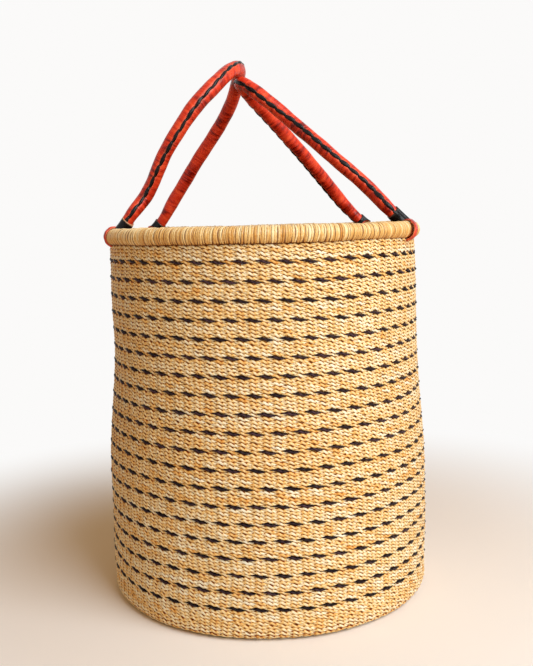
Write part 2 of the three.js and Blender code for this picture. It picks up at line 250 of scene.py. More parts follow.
def round_angles(count, offset=0.0):
    """Even angles once round, which start at zero or at a share of a step."""
    return 2 * np.pi * (np.arange(count) + offset) / count


def squared_off(wave, power):
    """A sine or cosine with flatter crests: its size is raised to a power below one."""
    return np.sign(wave) * np.abs(wave) ** power


def about_axis(azimuth, radius, height):
    """Points about the basket's axis, with azimuth 0 at the front and positive to the right."""
    return np.stack([radius * np.sin(azimuth), -radius * np.cos(azimuth), height], -1)


def strand_pair(distance, stakes, half_high=STRAND_HALF_HIGH, taper=STRAND_TAPER, forward=0.0):
    """Points of the two strands of each course: they wind round each other once in two stakes.

    With s counted in stakes, a strand's middle stands out by the reach times cos(pi s) and
    drops by the drop times sin(pi s); the other is half a turn on. The section is a flattened
    ellipse. Its height is the full one times 1 - taper + taper cos(pi s), so it is greatest
    outside a stake. A strand may stand forward of its partner throughout. Returns an array
    of points [course, strand, step, corner, xyz], and the tone and depth of each.
    """
    courses = len(distance)
    steps = stakes * STEPS_PER_STAKE
    along = np.arange(steps) / STEPS_PER_STAKE
    turn = np.pi * (along[None, None, :] + np.arange(2)[None, :, None])
    turn = np.broadcast_to(turn, (courses, 2, steps))
    at = np.broadcast_to(distance[:, None, None], (courses, 2, steps))

    def per_stitch(size):
        """A random value at each stake, run smoothly from one to the next."""
        values = chance.normal(0, size, (courses, 2, stakes))
        low = np.floor(along).astype(int)
        share = along - low
        share = share * share * (3 - 2 * share)
        return values[..., low] * (1 - share) + values[..., (low + 1) % stakes] * share

    slipped = along + per_stitch(STITCH_SLIP) + chance.normal(0, COURSE_SLIP, (courses, 1, 1))
    azimuth = 2 * np.pi * slipped / stakes
    radius, height, slope = mid_line(at + hand_drift(azimuth, at) * DRIFT_UP + per_stitch(STITCH_LIFT))
    uneven = per_stitch(STITCH_BULGE) + hand_drift(azimuth + OUT_TURN, at * OUT_STRETCH) * DRIFT_OUT
    shift = np.asarray(forward)[..., None] + uneven * np.cos(slope)
    out = STRAND_REACH * np.cos(turn) + shift
    lift = -STRAND_DROP * np.sin(turn)
    high = half_high * (1 - taper + taper * np.cos(turn)) * (1 + per_stitch(HIGH_SPREAD))
    thick = (STRAND_HALF_THICK + STRAND_THICKENING * np.sin(turn) ** 2) * (1 + per_stitch(THICK_SPREAD))
    out = np.where(slope > 0, np.minimum(out, MID_DEPTH - FLOOR_GAP - thick), out)

    corner = round_angles(SECTION_POINTS)
    outward = out[..., None] + thick[..., None] * squared_off(np.cos(corner), STRAND_FLATNESS)
    upward = lift[..., None] + high[..., None] * np.sin(corner)
    cos_slope, sin_slope = np.cos(slope)[..., None], np.sin(slope)[..., None]
    ring = radius[..., None] + outward * cos_slope + upward * sin_slope
    level = height[..., None] - outward * sin_slope + upward * cos_slope
    points = about_axis(azimuth[..., None], ring, level)
    tone = MIDDLE_TONE + per_stitch(STITCH_TONE) + chance.normal(0, COURSE_TONE, (courses, 2, 1))
    tone = np.broadcast_to(tone[..., None], level.shape)
    depth = (outward - shift[..., None]) / (STRAND_REACH + STRAND_HALF_THICK)
    return points, tone, depth


def tube_mesh(name, rings, values, material, closed=True, scale_along=1.0):
    """Skins through arrays of rings [tube, ring, corner, xyz], in mm, as one mesh.

    Each ring is joined to the next by a band of quads, and the last to the first where the
    tube is closed; an open tube has a flat face at each end. The UV map runs along the tube
    by ring count and once round its section, each tube in a band of its own. The values are
    attributes of the points.
    """
    tubes, count, corners = rings.shape[:3]
    spans = count if closed else count - 1
    tube, ring, corner = np.indices((tubes, spans, corners))
    next_ring, next_corner = (ring + 1) % count, (corner + 1) % corners

    def index(at_ring, at_corner):
        """Vertex at a ring and corner of each tube."""
        return (tube * count + at_ring) * corners + at_corner

    quads = np.stack([index(ring, corner), index(next_ring, corner),
                      index(next_ring, next_corner), index(ring, next_corner)], -1)
    u = np.stack([ring, ring + 1, ring + 1, ring], -1).ravel() * scale_along
    v = (np.stack([corner, corner, corner + 1, corner + 1], -1) / corners + tube[..., None]).ravel()
    starts = np.arange(0, quads.size, 4)
    order = quads.ravel()
    if not closed:
        first_vertex = np.arange(tubes)[:, None] * count
        first = first_vertex * corners + np.arange(corners)[::-1]
        last = (first_vertex + count - 1) * corners + np.arange(corners)
        caps = np.concatenate([first, last])
        starts = np.concatenate([starts, order.size + np.arange(len(caps)) * corners])
        order = np.concatenate([order, caps.ravel()])
        u = np.concatenate([u, np.zeros(first.size), np.full(last.size, (count - 1) * scale_along)])
        v = np.concatenate([v, caps.ravel() % corners / corners])

    mesh = bpy.data.meshes.new(name)
    mesh.vertices.add(tubes * count * corners)
    mesh.vertices.foreach_set("co", (rings * MM).astype(np.float32).ravel())
    mesh.loops.add(order.size)
    mesh.loops.foreach_set("vertex_index", order.astype(np.int32))
    mesh.polygons.add(len(starts))
    mesh.polygons.foreach_set("loop_start", starts.astype(np.int32))
    mesh.polygons.foreach_set("use_smooth", np.ones(len(starts), bool))
    uv = mesh.uv_layers.new(name="along")
    uv.data.foreach_set("uv", np.stack([u, v], -1).astype(np.float32).ravel())
    for key, value in values.items():
        spread = np.broadcast_to(value, rings.shape[:-1]).astype(np.float32)
        mesh.attributes.new(key, "FLOAT", "POINT").data.foreach_set("value", spread.ravel())
    mesh.materials.append(material)
    mesh.update(calc_edges=True)
    mesh.validate()
    piece = bpy.data.objects.new(name, mesh)
    scene.collection.objects.link(piece)
    return piece


PLY_PHASE = 4 * math.pi  # two plies, twisted once in a stake: the phase per stake, and per turn
STREAKS = 2.2  # per stake, and per radian of that phase: 6 mm long and 0.5 mm wide
STREAK_SHARE = 1.1
TONE_SHIFT = -0.6  # brings the tone with its streaks back to the middle of the colours
# nick values over which a pit takes the shade colour, as painted shade
PIT_FROM = 0.2
PIT_FULL = 0.85
PIT_RELIEF = -1.2  # a pit is a little deeper than the relief of the fibres
# how much paler the crowns of the plies are painted, as a painted highlight
CROWN_PAINTED_HIGHLIGHT = -0.16
BURIED_FROM = 0.56  # depths, from 1 at a strand's front, between which it goes out of the light
BURIED_FULL = 0.36


def straw(name, pale, middle, deep, painted_shade_colour, roughness):
    """Dried elephant grass, split and twisted by hand in two plies, with a soft dry sheen.

    Each stitch's own tone, with streaks along the fibres, picks a colour from deep to pale.
    A pit lies where the groove between the plies runs out at the strand's upper or lower
    edge: there cos(phase) less cos(twice the angle round the strand) is high. The pits get the
    shade colour as painted shade, the crowns between them are painted paler as a painted
    highlight, and what is buried between strands gets the shade colour as painted shade.
    """
    material, tree, shader = new_material(name)
    tone = add_node(tree, "Attribute", attribute_name="tone")
    depth = add_node(tree, "Attribute", attribute_name="depth")
    uv = add_node(tree, "UVMap", uv_map="along")
    split = add_node(tree, "SeparateXYZ", {0: uv.outputs["UV"]})
    twist = add_node(tree, "Math", {0: split.outputs["X"], 1: split.outputs["Y"]}, operation="ADD")
    phase = add_node(tree, "Math", {0: twist.outputs[0], 1: PLY_PHASE, 2: math.pi},
                     operation="MULTIPLY_ADD")
    wave = add_node(tree, "Math", {0: phase.outputs[0]}, operation="COSINE")
    around = add_node(tree, "Math", {0: split.outputs["Y"], 1: PLY_PHASE}, operation="MULTIPLY")
    facing = add_node(tree, "Math", {0: around.outputs[0]}, operation="COSINE")
    nick = add_node(tree, "Math", {0: wave.outputs[0], 1: facing.outputs[0]}, operation="SUBTRACT")
    pit = add_node(tree, "MapRange", {"Value": nick.outputs[0], "From Min": PIT_FROM,
                                      "From Max": PIT_FULL})
    streak_place = add_node(tree, "CombineXYZ", {"X": split.outputs["X"], "Y": phase.outputs[0]})
    streaks = add_node(tree, "TexNoise", {"Vector": streak_place.outputs[0], "Scale": STREAKS,
                                          "Detail": 3.0})
    mixed = add_node(tree, "Math", {0: streaks.outputs["Fac"], 1: STREAK_SHARE, 2: tone.outputs["Fac"]},
                     operation="MULTIPLY_ADD")
    # painted highlight: the crowns of the plies, where the nick is low, are made paler
    painted_crown_highlight = add_node(tree, "Math", {0: nick.outputs[0], 1: CROWN_PAINTED_HIGHLIGHT, 2: mixed.outputs[0]},
                    operation="MULTIPLY_ADD")
    shade = add_node(tree, "Math", {0: painted_crown_highlight.outputs[0], 1: TONE_SHIFT}, operation="ADD")
    ramp = add_node(tree, "ValToRGB", {0: shade.outputs[0]})
    stops = ramp.color_ramp.elements
    stops[0].position, stops[0].color = 0.1, paint(deep)
    stops[1].position, stops[1].color = 0.9, paint(pale)
    stops.new(0.5).color = paint(middle)
    # painted shade: the pits take the shade colour
    dark = add_node(tree, "Mix", {0: pit.outputs[0], 6: ramp.outputs[0], 7: paint(painted_shade_colour)},
                    data_type="RGBA")
    # painted shade: what lies deep between strands takes the shade colour
    buried = add_node(tree, "Math", {0: depth.outputs["Fac"]}, operation="ABSOLUTE")
    hidden = add_node(tree, "MapRange", {"Value": buried.outputs[0], "From Min": BURIED_FROM,
                                         "From Max": BURIED_FULL})
    colour = add_node(tree, "Mix", {0: hidden.outputs[0], 6: dark.outputs[2], 7: paint(painted_shade_colour)},
                      data_type="RGBA")
    tree.links.new(colour.outputs[2], shader.inputs["Base Color"])
    relief = add_node(tree, "Math", {0: pit.outputs[0], 1: PIT_RELIEF, 2: streaks.outputs["Fac"]},
                      operation="MULTIPLY_ADD")
    bump = add_node(tree, "Bump", {"Height": relief.outputs[0], "Strength": 0.9, "Distance": 0.45 * MM})
    tree.links.new(bump.outputs[0], shader.inputs["Normal"])
    shader.inputs["Roughness"].default_value = roughness
    shader.inputs["Specular IOR Level"].default_value = 0.13
    return material


def weave_piece(name, points, tone, depth, material):
    """One piece of the weave: its strands' points, tone and depth as closed tubes."""
    rings = points.reshape(-1, *points.shape[-3:])
    values = {"tone": tone.reshape(rings.shape[:-1]), "depth": depth.reshape(rings.shape[:-1])}
    return tube_mesh(name, rings, values, material, scale_along=1 / STEPS_PER_STAKE)


# the last colour of each is the painted shade of the pits and of what is buried between strands
natural_straw = straw("natural_elephant_grass", "#FFFAE0", "#FAD386", "#E2963A", "#8A3400", 0.38)
dyed_straw = straw("dyed_elephant_grass", "#523840", "#1E1016", "#10080B", "#0A0406", 0.45)

# Distances of the courses above the corner: five to a row between the dark ones
DARK_ROWS = 20
FIRST_DARK_HEIGHT = 429.0
FIRST_DARK_PITCH = 21.3
PITCH_LOSS = 0.0038  # share of the pitch that each lower row loses
COURSES_PER_ROW = 5
COURSES_ABOVE = 4
LOW_PITCH = 3.97  # between the courses below the last dark row, and on the base
BASE_START = 9.0  # radius of the first round of the base

row_pitches = FIRST_DARK_PITCH * (1 - PITCH_LOSS * np.arange(DARK_ROWS - 1))
row_distances = FIRST_DARK_HEIGHT - np.concatenate([[0], np.cumsum(row_pitches)]) - CORNER_RADIUS
gaps = -np.diff(row_distances)
parts_down = np.arange(1, COURSES_PER_ROW)
between = (row_distances[:-1, None] - gaps[:, None] * parts_down / COURSES_PER_ROW).ravel()
above = row_distances[0] + FIRST_DARK_PITCH / COURSES_PER_ROW * np.arange(COURSES_ABOVE, 0, -1)
corner_run = (CORNER_RADIUS - MID_DEPTH) * np.pi / 2
base_run = FOOT_RADIUS - CORNER_RADIUS + corner_run - BASE_START
below = np.arange(row_distances[-1] - LOW_PITCH, -base_run, -LOW_PITCH)
on_wall = below > -corner_run

COURSES_PER_PIECE = 16  # which keeps a piece well under 200,000 triangles

plain_courses = np.sort(np.concatenate([above, between, below[on_wall]]))[::-1]
bands = [plain_courses[first:first + COURSES_PER_PIECE]
         for first in range(0, len(plain_courses), COURSES_PER_PIECE)]
for number, band in enumerate(bands, 1):
    piece = weave_piece(f"wall_weave_{number}", *strand_pair(band, STAKES), natural_straw)
    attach(piece, "basket")
    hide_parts("outside_weave", "inside_weave")

# Dark rows: one strand of the pair is dyed with its outer side on every second stake, and
# the next row's dashes lie between. It is finer and laid over its undyed partner.
DYED_FORWARD = 0.8  # each of the two is moved by this, so the dyed one's stitches look longer
DYED_HALF_HIGH = 1.65
DYED_TAPER = 0.42  # and they have sharper points

partners = np.arange(DARK_ROWS) % 2
is_dyed = partners[:, None] == np.arange(2)
points, tone, depth = strand_pair(
    row_distances, STAKES,
    half_high=np.where(is_dyed, DYED_HALF_HIGH, STRAND_HALF_HIGH)[..., None],
    taper=np.where(is_dyed, DYED_TAPER, STRAND_TAPER)[..., None],
    forward=np.where(is_dyed, DYED_FORWARD, -DYED_FORWARD),
)
undyed = (np.arange(DARK_ROWS), 1 - partners)
piece = weave_piece("dark_row_partners", points[undyed], tone[undyed], depth[undyed], natural_straw)
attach(piece, "basket")
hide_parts("outside_weave", "inside_weave")
for row in range(DARK_ROWS):
    dyed = (row, partners[row])
    piece = weave_piece(f"dyed_strand_{row + 1:02d}", points[dyed], tone[dyed], depth[dyed], dyed_straw)
    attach(piece, "basket")
    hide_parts(f"dark_course_{row + 1:02d}")

# Base: twined the same way, with fewer stakes towards its middle, where they are crossed,
# and more put in as the round grows. Its outermost zone is in two pieces.
BASE_STAKES = [(154, 96), (112, 96), (56, 48), (28, 24), (0, 12)]  # a zone's inner radius and stakes

base_courses = below[~on_wall]
base_radii = mid_line(base_courses)[0]
outer = np.inf
for number, (inner, stakes) in enumerate(BASE_STAKES, 1):
    zone = base_courses[(base_radii >= inner) & (base_radii < outer)]
    outer = inner
    piece = weave_piece(f"base_weave_{number}", *strand_pair(zone, stakes), natural_straw)
    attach(piece, "basket")
    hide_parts("outside_weave", "inside_weave")

# Start of the base: three stakes crossed over and under three others, in the middle of the
# first round. They are whole stems of the same grass, a little thicker than the strands.
CROSS_LANES = np.arange(-1, 2)
CROSS_PITCH = 5.2
CROSS_HALF_LENGTH = 13.0
CROSS_STEM_RADIUS = 1.7
CROSS_FLATTENING = 0.9
CROSS_WAVE = 1.6  # how far a stem bends over or under another
CROSSED_PITCHES = 1.6  # past this many pitches from the middle a stem runs straight
CROSS_STEPS = 40
CROSS_CORNERS = 8
CROSS_TONE = 0.55
CROSS_TWIST = 0.05  # of the plies' pattern, from one step to the next

run = np.linspace(-CROSS_HALF_LENGTH, CROSS_HALF_LENGTH, CROSS_STEPS)
lane, line = np.meshgrid(CROSS_LANES, run, indexing="ij")
crossed = np.abs(line) < CROSSED_PITCHES * CROSS_PITCH
wave = CROSS_WAVE * np.cos(np.pi * line / CROSS_PITCH + np.pi * lane) * crossed
stem_corner = round_angles(CROSS_CORNERS)
side = CROSS_STEM_RADIUS * np.cos(stem_corner)
rise = CROSS_STEM_RADIUS * CROSS_FLATTENING * np.sin(stem_corner)
across = (lane * CROSS_PITCH)[..., None] - side
length = np.broadcast_to(line[..., None], across.shape)
along_x = np.stack([length, across, (MID_DEPTH + wave)[..., None] + rise], -1)
along_y = np.stack([-across, length, (MID_DEPTH - wave)[..., None] + rise], -1)
base_start = tube_mesh("base_start", np.concatenate([along_x, along_y]),
                       {"tone": CROSS_TONE, "depth": 1.0}, natural_straw, closed=False,
                       scale_along=CROSS_TWIST)
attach(base_start, "basket")
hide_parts("outside_weave", "inside_weave")

# Stakes: whole stems of the same grass, hidden but for glimpses between two stitches. The
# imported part's own stakes stay, with the stems' dry, ribbed skin, and so does the bundle
# inside the rim.
RIBS_PER_METRE = 900  # 1.1 mm each, coarser than the real ones
RIB_ENDS_PER_METRE = 60

stem_straw, tree, shader = new_material("whole_grass_stem")
stem_place = add_node(tree, "TexCoord")
stretch = add_node(tree, "Mapping", {"Vector": stem_place.outputs["Object"],
                                     "Scale": (RIBS_PER_METRE, RIBS_PER_METRE, RIB_ENDS_PER_METRE)})
ribs = add_node(tree, "TexNoise", {"Vector": stretch.outputs[0], "Scale": 1.0, "Detail": 2.0})
ramp = add_node(tree, "ValToRGB", {0: ribs.outputs["Fac"]})
stops = ramp.color_ramp.elements
stops[0].position, stops[0].color = 0.3, paint("#B98242")
stops[1].position, stops[1].color = 0.7, paint("#E6C283")
tree.links.new(ramp.outputs[0], shader.inputs["Base Color"])
bump = add_node(tree, "Bump", {"Height": ribs.outputs["Fac"], "Strength": 0.4, "Distance": 0.1 * MM})
tree.links.new(bump.outputs[0], shader.inputs["Normal"])
shader.inputs["Roughness"].default_value = 0.6
for name in ("stake_frame", "rim_core"):
    node_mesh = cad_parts[name].data
    node_mesh.materials.clear()
    node_mesh.materials.append(stem_straw)


# Rim: a bundle of grass wound round with split strands, one turn hard against the next. Each
# turn is round on top, so a fine groove parts it from its neighbours, and it leans a little
# as it goes round. The roll's top is painted paler, as light falling from above, and its
# underside darker, as painted shade.
ROLL_CENTRE_RADIUS = 191.5
ROLL_HEIGHT = 457.5
ROLL_RADIUS = 9.5
ROLL_CORNERS = 28
ROLL_WAVES = ((7, 0.3, 0), (16, 0.2, 1))  # waves round the basket, size in mm, and start
TURN_WIDTH = 2.45  # one strand of the winding
TURN_BULGE = 0.85
TURN_SHARES = np.array([0.03, 0.24, 0.5, 0.76, 0.97])  # places across a turn, from groove to groove
TURN_LEAN = 3.0  # how far a turn moves along the rim while it goes round the roll
NARROWEST_TURN = 0.5  # shares of a turn's width
WIDEST_TURN = 1.6
WIDTH_SPREAD = 0.22
BULGE_SPREAD = 0.2
TURN_HEIGHT = 0.16
TURN_OVAL = 0.12
LEAN_SPREAD = 1.1
TURN_SWAY = 0.4  # a random bend of the turn's lean
SWAY_START = 1
TURN_TONE = 0.13
TONE_WAVES = 5  # the tone also drifts slowly round the basket, by this many waves of this size
TONE_DRIFT = 0.06
# how much paler the roll's top is painted, as light falling from above
TOP_PAINTED_LIGHT = 0.2
SHADE_FROM = 0.37  # shares of a turn round the roll, from its top: the underside is in the shade
SHADE_WIDTH = 0.06
SHADE_DEPTH = 0.8

turn_count = round(2 * np.pi * ROLL_CENTRE_RADIUS / TURN_WIDTH)
widths = np.clip(chance.normal(1, WIDTH_SPREAD, turn_count), NARROWEST_TURN, WIDEST_TURN)
edges = np.concatenate([[0], np.cumsum(widths)])
edges *= 2 * np.pi / edges[-1]
start = (edges[:-1, None] + TURN_SHARES * np.diff(edges)[:, None]).ravel()
bulge = np.tile(np.sqrt(1 - (2 * TURN_SHARES - 1) ** 2), turn_count)


def per_turn(size):
    """A random value for each turn of the winding, the same over all its steps."""
    return np.repeat(chance.normal(0, size, turn_count), len(TURN_SHARES))[:, None]


roll_corner = round_angles(ROLL_CORNERS)
swell = TURN_BULGE * bulge[:, None] * (1 + per_turn(BULGE_SPREAD)) + per_turn(TURN_HEIGHT)
for turns, size, shift in ROLL_WAVES:
    swell = swell + size * np.sin(turns * start + shift)[:, None]
roll = ROLL_RADIUS + swell + per_turn(TURN_OVAL) * np.sin(2 * roll_corner)
from_bottom = ((roll_corner + np.pi / 2) % (2 * np.pi)) / (2 * np.pi)
lean = (TURN_LEAN + per_turn(LEAN_SPREAD)) * (from_bottom - 0.5)
lean = lean + per_turn(TURN_SWAY) * np.sin(2 * roll_corner + SWAY_START)
azimuth = start[:, None] + lean / ROLL_CENTRE_RADIUS
ring = ROLL_CENTRE_RADIUS + roll * np.cos(roll_corner)
level = ROLL_HEIGHT + roll * np.sin(roll_corner)
tone = MIDDLE_TONE + per_turn(TURN_TONE) + TONE_DRIFT * np.sin(TONE_WAVES * start)[:, None]
# painted light: the roll's top is made paler, as lit from above
tone = tone + TOP_PAINTED_LIGHT * np.sin(roll_corner)
# painted shade: the roll's underside is given less depth, so that it takes the shade colour
underside = np.clip((np.abs(from_bottom - 0.5) - SHADE_FROM) / SHADE_WIDTH, 0, 1)
depth = bulge[:, None] * (1 - SHADE_DEPTH * underside)

FIBRES = (1.7, 7, 1)  # scales across a turn and round the roll, before the noise's own scale of 3
FIBRE_SHARE = 1.2
# depths over which the grooves between turns and the underside take the shade colour, as painted shade
GROOVE_FROM = 0.55
GROOVE_FULL = 0.3


def wound_straw(name, pale, middle, deep, painted_shade_colour):
    """Elephant grass, split flat and wound side by side, with a light polish from hands.

    Each turn has its own tone. Fibres 0.5 mm wide and 3 mm long run round the roll with the
    strand and streak it. The line where two turns meet, and the roll's underside, are painted
    darker as shade.
    """
    material, tree, shader = new_material(name)
    tone = add_node(tree, "Attribute", attribute_name="tone")
    depth = add_node(tree, "Attribute", attribute_name="depth")
    uv = add_node(tree, "UVMap", uv_map="along")
    stretch = add_node(tree, "Mapping", {"Vector": uv.outputs["UV"], "Scale": FIBRES})
    fibres = add_node(tree, "TexNoise", {"Vector": stretch.outputs[0], "Scale": 3.0, "Detail": 3.0,
                                         "Roughness": 0.6})
    mixed = add_node(tree, "Math", {0: fibres.outputs["Fac"], 1: FIBRE_SHARE, 2: tone.outputs["Fac"]},
                     operation="MULTIPLY_ADD")
    shade = add_node(tree, "Math", {0: mixed.outputs[0], 1: TONE_SHIFT}, operation="ADD")
    ramp = add_node(tree, "ValToRGB", {0: shade.outputs[0]})
    stops = ramp.color_ramp.elements
    stops[0].position, stops[0].color = 0.1, paint(deep)
    stops[1].position, stops[1].color = 0.9, paint(pale)
    stops.new(0.5).color = paint(middle)
    # painted shade: the grooves between turns and the roll's underside
    hidden = add_node(tree, "MapRange", {"Value": depth.outputs["Fac"], "From Min": GROOVE_FROM,
                                         "From Max": GROOVE_FULL})
    colour = add_node(tree, "Mix", {0: hidden.outputs[0], 6: ramp.outputs[0], 7: paint(painted_shade_colour)},
                      data_type="RGBA")
    tree.links.new(colour.outputs[2], shader.inputs["Base Color"])
    bump = add_node(tree, "Bump", {"Height": fibres.outputs["Fac"], "Strength": 0.5,
                                   "Distance": 0.2 * MM})
    tree.links.new(bump.outputs[0], shader.inputs["Normal"])
    shader.inputs["Roughness"].default_value = 0.32
    shader.inputs["Specular IOR Level"].default_value = 0.4
    return material


# the last colour is the painted shade of the grooves and the underside
rim_straw = wound_straw("wound_elephant_grass", "#FCE8B2", "#E8B96B", "#C68432", "#70390E")
rim = tube_mesh("wound_rim", about_axis(azimuth, ring, level)[None], {"tone": tone, "depth": depth},
                rim_straw, scale_along=1 / len(TURN_SHARES))
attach(rim, "basket")
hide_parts("rim_binding")


# Handle covers: red goat leather wrapped wet round a bundle of grass, so that it dried in
# lumps and small cross wrinkles. Its two edges meet in a seam, which starts along the outer
# side of the loop and creeps round the handle towards the far foot.
RIM_FLATS = 32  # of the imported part's rim: a foot stands half way along one
FOOT_DISTANCE = 15.8  # from the middle of the roll to a cover's end, inside its collar
STRAIGHT_TOP = 34.0  # the foot of the leg runs straight up to here
COVER_CORNERS = 32
COVER_STEPS = 420
CURVE_STEPS = 60  # in which a stretch of the loop between two of its points is worked out
# near, far: the flat of the rim that a foot stands on, from the front, and its shift in stakes
# foot_bow: how far outside the roll's middle the near and the far leg start
# inset, rise: how far inwards and upwards the loop reaches from the line between its feet
# swell, thong: how much fuller the cover is near its top, and the lacing's half width
# path_shares: of the half span, of the reach and, outwards, of the reach again
# seam: shares of the loop's length, and how many degrees the seam turns from the outer side
LOOPS = {
    "left": {
        "side": -1, "near": (6, 0), "far": (11, -1), "foot_bow": (-3.5, 0),
        "inset": 145.5, "rise": 208.0, "swell": 1.2, "thong": 2.3,
        "path_shares": [
            (-0.86, 0.25, -0.012), (-0.92, 0.5, 0.01), (-0.86, 0.74, 0.009), (-0.54, 0.922, -0.003),
            (-0.04, 1, 0), (0.48, 0.93, 0), (0.86, 0.74, -0.004), (1, 0.5, 0.009), (1.01, 0.25, 0.008),
        ],
        "seam": [(0, 8), (0.1, 8), (0.22, 22), (0.36, 18), (0.43, 3), (0.6, 4), (1, 0)],
    },
    "right": {
        "side": 1, "near": (6, -1), "far": (11, 0), "foot_bow": (0.5, 4),
        "inset": 187.0, "rise": 189.0, "swell": 0.0, "thong": 2.8,
        "path_shares": [
            (-0.82, 0.245, 0.016), (-0.56, 0.49, 0.02), (-0.28, 0.73, 0.018), (-0.15, 0.93, 0.008),
            (0.03, 1, 0), (0.215, 0.93, 0.004), (0.415, 0.745, 0.014), (0.65, 0.505, 0.017),
            (0.92, 0.25, 0.016),
        ],
        "seam": [(0, 8), (0.12, 10), (0.24, 2), (0.33, 2), (0.42, -22), (0.5, -30), (0.62, -70),
                 (0.75, -84), (1, -80)],
    },
}


def unit(vectors):
    """Vectors along the last axis, brought to length one."""
    return vectors / np.linalg.norm(vectors, axis=-1, keepdims=True)


def foot_place(side, flat, shift):
    """Middle of the rim roll at a foot, and the directions outwards and along the rim there.

    It is half way along a flat of the rim, moved along it by whole stakes.
    """
    azimuth = side * (2 * flat + 1) * np.pi / RIM_FLATS
    radius = ROLL_CENTRE_RADIUS * np.cos(np.pi / RIM_FLATS)
    step = side * shift * radius * np.tan(2 * np.pi / STAKES)
    out = np.array([np.sin(azimuth), -np.cos(azimuth), 0])
    along = np.array([np.cos(azimuth), np.sin(azimuth), 0])
    return radius * out + step * along + np.array([0, 0, ROLL_HEIGHT]), out, along


def loop_axes(loop):
    """Feet of a loop and its own axes: from foot to foot, along its reach, and square to both."""
    near = foot_place(loop["side"], *loop["near"])[0]
    far = foot_place(loop["side"], *loop["far"])[0]
    across = unit(far - near)
    inward = loop["side"] * np.cross([0, 0, 1], across)
    rise = unit(loop["inset"] * inward + loop["rise"] * np.array([0, 0, 1]))
    return near, far, across, rise, np.cross(across, rise)


def through(points, steps):
    """Even steps along a smooth curve through points, and how far along each step is.

    Each stretch is a cubic. Its slope at a point weighs the stretches on both sides by the
    square root of their lengths, so that it swings wide of no point.
    """
    points = np.concatenate([[2 * points[0] - points[1]], points, [2 * points[-1] - points[-2]]])
    gap = np.sqrt(np.linalg.norm(np.diff(points, axis=0), axis=1))[:, None]
    rate = np.diff(points, axis=0) / gap
    slope = rate[:-1] - (points[2:] - points[:-2]) / (gap[:-1] + gap[1:]) + rate[1:]
    left, reached = points[1:-2], points[2:-1]
    leave, arrive = slope[:-1] * gap[1:-1], slope[1:] * gap[1:-1]
    t = np.linspace(0, 1, CURVE_STEPS, endpoint=False)[:, None, None]
    curve = ((2 * t**3 - 3 * t**2 + 1) * left + (t**3 - 2 * t**2 + t) * leave
             + (3 * t**2 - 2 * t**3) * reached + (t**3 - t**2) * arrive)
    curve = np.concatenate([curve.transpose(1, 0, 2).reshape(-1, 3), points[-2:-1]])
    walked = np.concatenate([[0], np.cumsum(np.linalg.norm(np.diff(curve, axis=0), axis=1))])
    at = np.linspace(0, walked[-1], steps)
    return np.stack([np.interp(at, walked, curve[:, k]) for k in range(3)], -1), at


def loop_line(loop, steps):
    """Middle line of a loop from foot to foot, how far along it is, and its two cross directions.

    The first cross direction points at the seam, the second is a quarter turn on.
    """
    near, far, across, rise, plane = loop_axes(loop)
    middle, half = (near + far) / 2, np.linalg.norm(far - near) / 2
    reach = np.hypot(loop["inset"], loop["rise"])
    outside = loop["side"] * plane
    shares = np.array(loop["path_shares"])
    inner = (middle + shares[:, :1] * half * across + shares[:, 1:2] * reach * rise
             + shares[:, 2:] * reach * outside)
    near_bow, far_bow = (bow * outside for bow in loop["foot_bow"])
    ends = [near + rise * FOOT_DISTANCE + near_bow, near + rise * STRAIGHT_TOP + near_bow]
    others = [far + rise * STRAIGHT_TOP + far_bow, far + rise * FOOT_DISTANCE + far_bow]
    line, walked = through(np.concatenate([ends, inner, others]), steps)
    travel = unit(np.gradient(line, axis=0))
    outer = unit(np.cross(plane, travel))
    level = np.cross(travel, outer)
    share, turn = np.array(loop["seam"]).T
    turned = np.radians(np.interp(walked / walked[-1], share, turn))[:, None]
    seam = outer * np.cos(turned) + level * np.sin(turned)
    return line, walked, seam, np.cross(travel, seam)


COVER_RADIUS = 8.75
FOOT_THINNING = 0.4  # the cover thins towards both feet, over this length
THINNING_LENGTH = 60
DRAWN_DEPTH = 1.2  # how much a collar draws the cover in, and up to what distance
DRAWN_LENGTH = 24.0
FULLER_SHARE = 0.35  # place of the fuller stretch along the loop, and its half length
FULLER_SPREAD = 0.09


def bell(distance, width):
    """One at zero and falling away on both sides: e to the minus (distance / width) squared."""
    return np.exp(-(distance / width) ** 2)


def drawn_in(walked):
    """How far the feet's collars draw a cover in: one inside a collar, none a little above it."""
    return np.exp(-(walked / DRAWN_LENGTH) ** 4) + np.exp(-((walked[-1] - walked) / DRAWN_LENGTH) ** 4)


def cover_radius(loop, walked):
    """Radius of a cover at a distance along the loop: it thins towards both feet.

    A cover may be fuller on the near side of its top, where the grass was bundled thicker.
    """
    thinner = (FOOT_THINNING * np.exp(-walked / THINNING_LENGTH)
               + FOOT_THINNING * np.exp((walked - walked[-1]) / THINNING_LENGTH))
    fuller = loop["swell"] * bell(walked / walked[-1] - FULLER_SHARE, FULLER_SPREAD)
    return COVER_RADIUS + fuller - thinner - DRAWN_DEPTH * drawn_in(walked)


def off_line(line, seam, beside, outward, sideways):
    """Rings of points off a line: so far towards the seam, and so far square to that."""
    return (line[..., None, :] + seam[..., None, :] * outward[..., None]
            + beside[..., None, :] * sideways[..., None])


WRINKLES = (0.24, 2.4, 1)  # per mm along the handle, and per turn round it
GRAIN_PER_METRE = 900.0  # 1.1 mm each
CLOUDS_PER_METRE = 48.0  # 21 mm each
# the wrinkles' share in the colour paints shade into their creases
CLOUD_SHARE = 0.8  # of the clouds and the wrinkles in the colour, and the shift to its middle
WRINKLE_SHARE = 0.9
WRINKLE_SHIFT = -0.35
GRAIN_RELIEF = 0.03  # beside one for the wrinkles


